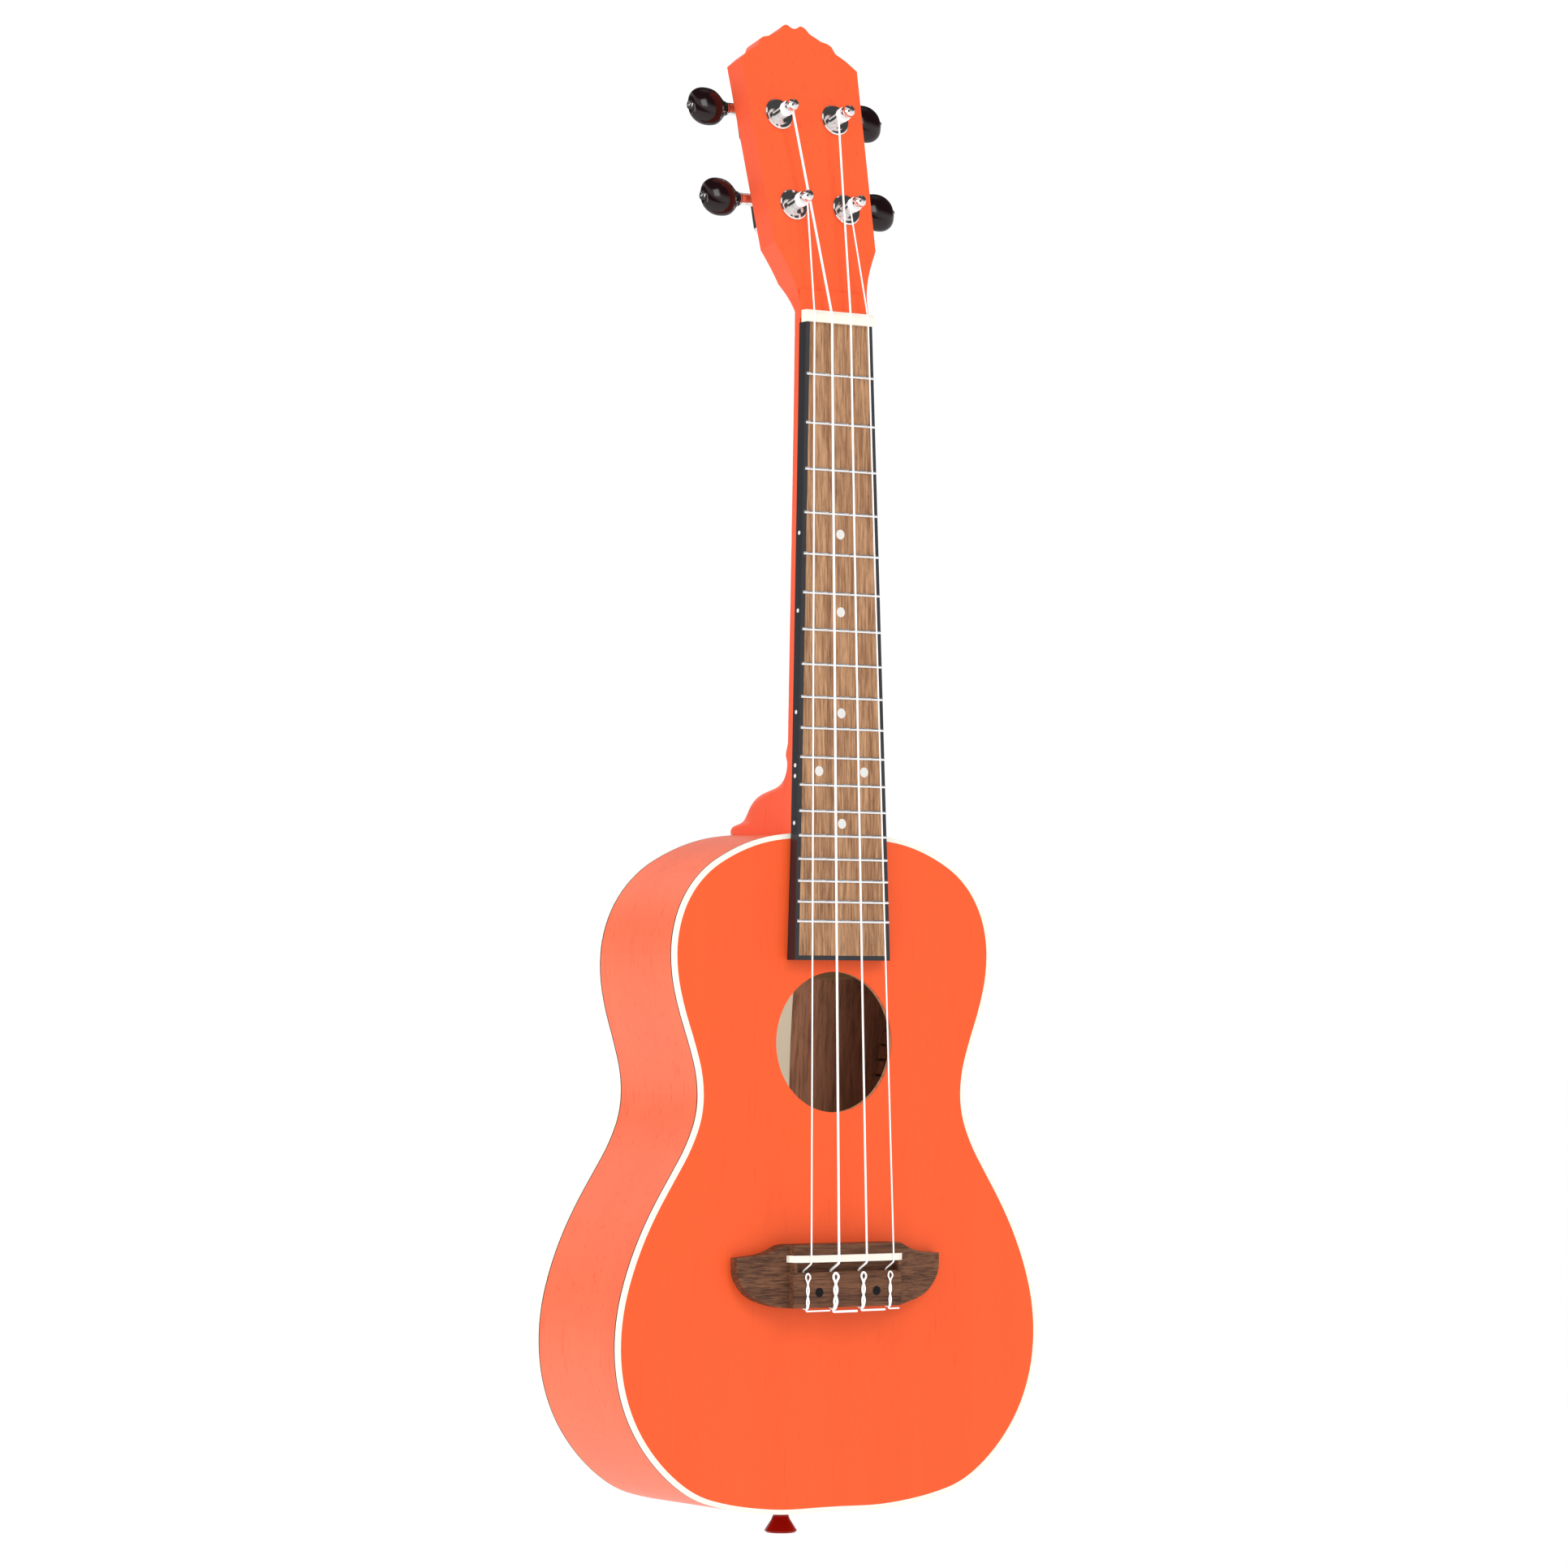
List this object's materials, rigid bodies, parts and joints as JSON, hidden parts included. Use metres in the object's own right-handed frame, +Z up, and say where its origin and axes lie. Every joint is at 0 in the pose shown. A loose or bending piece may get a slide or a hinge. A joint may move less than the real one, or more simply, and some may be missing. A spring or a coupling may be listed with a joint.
{
  "type": "ukulele",
  "caption": "Concert-size ukulele with a waisted hollow body, round sound hole, tie bridge, fretted neck and geared tuning machines that turn.",
  "frame": {"origin": "middle of the nut's fingerboard-side edge, level with the fingerboard face, where the hanger's yoke closes under the headstock", "axes": "+Z up the neck towards the headstock, -Y out of the soundboard towards the player's audience, +X to the treble side"},
  "size_m": [0.2106, 0.0762, 0.6313],
  "materials": {
    "orange_top": "satin",
    "orange_side": "satin",
    "cream": "satin",
    "dark_line": "satin",
    "inner_wood": "matte",
    "spruce": "matte",
    "walnut_board": "matte",
    "walnut_bridge": "matte",
    "black_edge": "satin",
    "pearl": "satin",
    "fret_metal": "polished",
    "bone": "satin",
    "chrome": "polished",
    "black_key": "gloss",
    "nylon": "satin",
    "paper": "matte",
    "steel": "satin"
  },
  "bodies": {
    "instrument": {"soundboard": "orange_top", "back_plate": "orange_side", "side_left": "orange_side", "side_right": "orange_side", "front_binding": "cream", "back_binding": "cream", "purfling": "dark_line", "linings": "inner_wood", "neck_block": "inner_wood", "tail_block": "inner_wood", "top_braces": "spruce", "back_braces": "spruce", "seam_strips": "spruce", "bridge_patch": "spruce", "label": "paper", "fingerboard": "walnut_board", "fingerboard_edging": "black_edge", "position_dots": "pearl", "frets": "fret_metal", "nut": "bone", "neck": "orange_side", "heel_dowel": "spruce", "bridge": "walnut_bridge", "saddle": "bone", "bridge_plugs": "black_edge", "bridge_bolts": "steel", "strap_button": "chrome", "strap_screw": "chrome", "tuner_covers": "chrome", "tuner_bushings": "chrome", "tuner_washers": "chrome", "tuner_screws": "chrome", "tuner_case_g": "chrome", "tuner_case_c": "chrome", "tuner_case_e": "chrome", "tuner_case_a": "chrome", "string_g": "nylon", "string_c": "nylon", "string_e": "nylon", "string_a": "nylon"},
    "post_g_body": {"post_g": "chrome", "winding_g": "nylon"},
    "key_g_body": {"worm_g": "chrome", "button_g": "black_key", "button_screw_g": "chrome"},
    "post_c_body": {"post_c": "chrome", "winding_c": "nylon"},
    "key_c_body": {"worm_c": "chrome", "button_c": "black_key", "button_screw_c": "chrome"},
    "post_e_body": {"post_e": "chrome", "winding_e": "nylon"},
    "key_e_body": {"worm_e": "chrome", "button_e": "black_key", "button_screw_e": "chrome"},
    "post_a_body": {"post_a": "chrome", "winding_a": "nylon"},
    "key_a_body": {"worm_a": "chrome", "button_a": "black_key", "button_screw_a": "chrome"}
  },
  "joints": [
    {"name": "post_turn_g", "type": "hinge", "parent": "instrument", "child": "post_g_body", "pos_m": [-0.0133, 0.02896, 0.04664], "axis": [0, -0.9686, 0.2487], "continuous": true},
    {"name": "key_turn_g", "type": "hinge", "parent": "instrument", "child": "key_g_body", "pos_m": [-0.03, 0.03065, 0.05322], "axis": [-1, 0, 0], "continuous": true},
    {"name": "post_turn_c", "type": "hinge", "parent": "instrument", "child": "post_c_body", "pos_m": [-0.0142, 0.03898, 0.08567], "axis": [0, -0.9686, 0.2487], "continuous": true},
    {"name": "key_turn_c", "type": "hinge", "parent": "instrument", "child": "key_c_body", "pos_m": [-0.03, 0.04068, 0.09226], "axis": [-1, 0, 0], "continuous": true},
    {"name": "post_turn_e", "type": "hinge", "parent": "instrument", "child": "post_e_body", "pos_m": [0.0142, 0.03898, 0.08567], "axis": [0, -0.9686, 0.2487], "continuous": true},
    {"name": "key_turn_e", "type": "hinge", "parent": "instrument", "child": "key_e_body", "pos_m": [0.03, 0.04068, 0.09226], "axis": [1, 0, 0], "continuous": true},
    {"name": "post_turn_a", "type": "hinge", "parent": "instrument", "child": "post_a_body", "pos_m": [0.0133, 0.02896, 0.04664], "axis": [0, -0.9686, 0.2487], "continuous": true},
    {"name": "key_turn_a", "type": "hinge", "parent": "instrument", "child": "key_a_body", "pos_m": [0.03, 0.03065, 0.05322], "axis": [1, 0, 0], "continuous": true}
  ],
  "couplings": [
    {"joint": "post_turn_g", "follows": "key_turn_g", "ratio": -0.071429},
    {"joint": "post_turn_c", "follows": "key_turn_c", "ratio": -0.071429},
    {"joint": "post_turn_e", "follows": "key_turn_e", "ratio": 0.071429},
    {"joint": "post_turn_a", "follows": "key_turn_a", "ratio": 0.071429}
  ]
}
